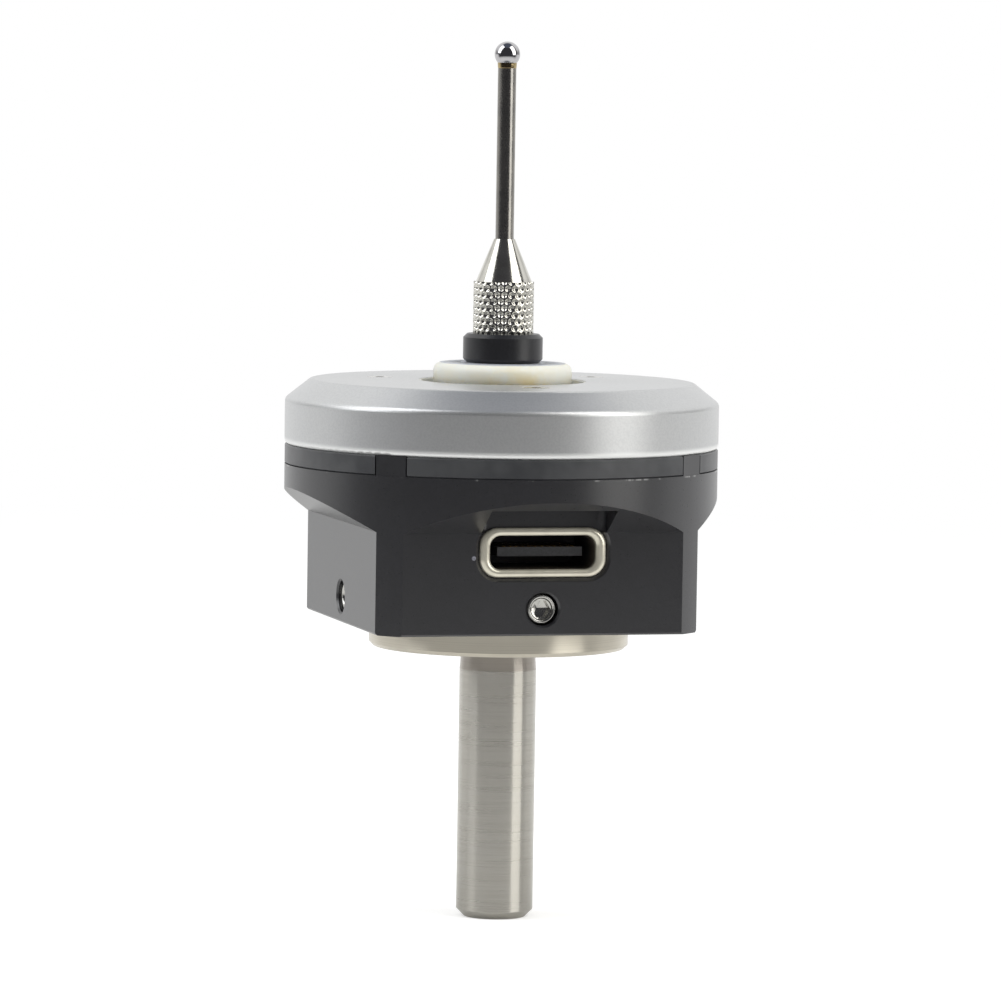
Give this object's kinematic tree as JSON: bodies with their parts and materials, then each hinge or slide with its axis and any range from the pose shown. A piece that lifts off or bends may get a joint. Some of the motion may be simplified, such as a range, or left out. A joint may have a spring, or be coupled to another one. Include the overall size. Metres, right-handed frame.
{
  "type": "edge finder",
  "caption": "Spring-seated touch probe for finding edges: shank, black flared housing, silver cover, lit ring and a ball stylus that gives way in every direction.",
  "frame": {"origin": "centre of the shank's end face", "axes": "+Z from the shank towards the stylus ball, -Y out of the socket's face"},
  "size_m": [0.0338, 0.0338, 0.0682],
  "materials": {
    "ground_steel": "ground stainless steel",
    "black_anodised": "fine matte black anodised aluminium",
    "smoked_ring": "smoked translucent plastic",
    "silver_anodised": "fine bead blasted silver anodised aluminium",
    "black_plastic": "moulded black plastic",
    "hard_steel": "hardened and polished steel",
    "nylon": "milky natural nylon",
    "spring_steel": "drawn spring wire",
    "brass": "turned brass",
    "black_oxide": "matte black steel",
    "bright_plate": "bright plated steel",
    "carbide": "dark ground carbide",
    "polished_ball": "polished hard metal",
    "board_laminate": "green solder mask",
    "screw_steel": "plain steel",
    "led_resin": "clear resin",
    "port_metal": "polished nickel plate"
  },
  "bodies": {
    "probe_body": {"shank": "ground_steel", "housing": "black_anodised", "light_ring": "smoked_ring", "cover": "silver_anodised", "contact_seat": "black_plastic", "contact_balls": "hard_steel", "circuit_board": "board_laminate", "board_screws": "screw_steel", "controller_chip": "black_plastic", "indicator_leds": "led_resin", "port_shell": "port_metal", "port_tongue": "black_plastic", "set_screw_front": "screw_steel", "set_screw_right": "screw_steel", "set_screw_back": "screw_steel", "set_screw_left": "screw_steel", "corner_screw_1": "screw_steel", "corner_screw_2": "screw_steel", "corner_screw_3": "screw_steel", "corner_screw_4": "screw_steel", "seat_screw_1": "screw_steel", "seat_screw_2": "screw_steel", "seat_screw_3": "screw_steel"},
    "arm_1_lift": {"return_spring_1": "spring_steel"},
    "arm_2_lift": {"return_spring_2": "spring_steel"},
    "carrier": {"carrier_hub": "nylon", "contact_arm_1": "hard_steel", "contact_arm_2": "hard_steel", "contact_arm_3": "hard_steel", "threaded_insert": "brass", "collar": "black_oxide", "stylus_holder": "bright_plate", "stylus_shaft": "carbide", "stylus_ball": "polished_ball", "return_spring_3": "spring_steel"}
  },
  "joints": [
    {"name": "arm_1_tilt", "type": "hinge", "parent": "probe_body", "child": "arm_1_lift", "pos_m": [0, -0.0045, 0.03755], "axis": [-1, 0, 0], "range_deg": [0, 10], "stiffness_Nm_per_rad": 0.07, "springref_deg": -9.57, "deforming": ["return_spring_1"]},
    {"name": "arm_2_tilt", "type": "hinge", "parent": "arm_1_lift", "child": "arm_2_lift", "pos_m": [0.0039, 0.00225, 0.03755], "axis": [0.5, -0.866, 0], "range_deg": [0, 10], "stiffness_Nm_per_rad": 0.07, "springref_deg": -9.57, "deforming": ["return_spring_2"]},
    {"name": "arm_3_tilt", "type": "hinge", "parent": "arm_2_lift", "child": "carrier", "pos_m": [-0.0039, 0.00225, 0.03755], "axis": [0.5, 0.866, 0], "range_deg": [0, 10], "stiffness_Nm_per_rad": 0.07, "springref_deg": -9.57, "deforming": ["return_spring_3"]}
  ]
}
